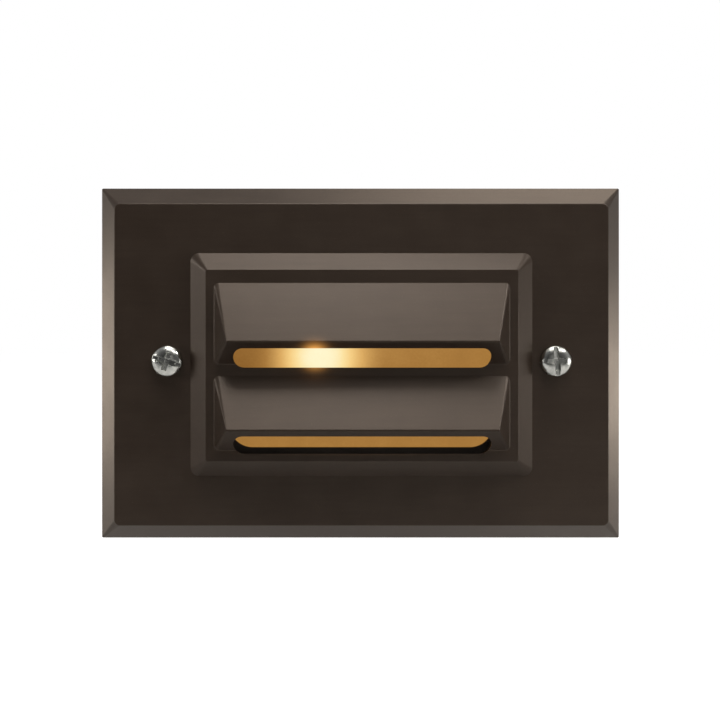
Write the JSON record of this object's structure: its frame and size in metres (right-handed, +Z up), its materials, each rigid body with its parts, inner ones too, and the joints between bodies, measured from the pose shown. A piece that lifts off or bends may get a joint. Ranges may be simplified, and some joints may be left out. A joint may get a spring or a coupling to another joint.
{
  "type": "step light",
  "caption": "Recessed low-voltage step light: cast louvred face plate with amber lens, screwed to a housing with a wedge-base lamp, reflector and rear cable gland.",
  "frame": {"origin": "middle of the face plate on the wall plane, which is the middle of the four wall fixing holes at the back of the housing's flange", "axes": "+Z up, -Y out of the wall towards the viewer, +X to the viewer's right"},
  "size_m": [0.1142, 0.0872, 0.0772],
  "materials": {
    "bronze_coat": "textured powder coat",
    "zinc_screws": "bright zinc plate",
    "amber_lens": "frosted amber",
    "black_rubber": "matt",
    "cast_housing": "as cast",
    "zinc_sheet": "zinc plate",
    "polished_sheet": "bright anodised",
    "white_ceramic": "unglazed",
    "bronze_springs": "bright",
    "brass": "bright",
    "clear_glass": "clear",
    "lamp_wire": "drawn wire",
    "glowing_wire": "coiled wire",
    "natural_nylon": "moulded",
    "black_lead": "extruded",
    "white_lead": "extruded",
    "black_nylon": "moulded"
  },
  "bodies": {
    "face": {"face_plate": "bronze_coat", "lens": "amber_lens", "lens_gasket": "black_rubber", "lens_retainer": "zinc_sheet", "lens_retainer_screws": "zinc_screws", "face_gasket": "black_rubber"},
    "left_screw": {"face_screw_left": "zinc_screws"},
    "right_screw": {"face_screw_right": "zinc_screws"},
    "housing": {"rear_housing": "cast_housing", "reflector": "polished_sheet", "reflector_screws": "zinc_screws", "socket_bracket": "zinc_sheet", "bracket_screws": "zinc_screws", "lamp_socket": "white_ceramic", "socket_contact_upper": "bronze_springs", "socket_contact_lower": "bronze_springs", "terminal_block": "natural_nylon", "terminal_sleeves": "brass", "terminal_screws": "zinc_screws", "terminal_block_screw": "zinc_screws", "lead_upper": "black_lead", "lead_lower": "white_lead", "cable_gland_body": "black_nylon", "cable_gland_seal": "black_rubber", "cable_gland_nut": "black_nylon", "cable_gland_locknut": "black_nylon"},
    "lamp": {"lamp_bulb": "clear_glass", "lamp_leads": "lamp_wire", "lamp_filament": "glowing_wire"}
  },
  "joints": [
    {"name": "face_lift_off", "type": "slide", "parent": "housing", "child": "face", "axis": [0, -1, 0], "range_m": [0, 0.06]},
    {"name": "left_screw_unscrew", "type": "slide", "parent": "face", "child": "left_screw", "axis": [0, -1, 0], "range_m": [0, 0.014]},
    {"name": "right_screw_unscrew", "type": "slide", "parent": "face", "child": "right_screw", "axis": [0, -1, 0], "range_m": [0, 0.014]},
    {"name": "lamp_pull", "type": "slide", "parent": "housing", "child": "lamp", "axis": [1, 0, 0], "range_m": [0, 0.011]}
  ]
}
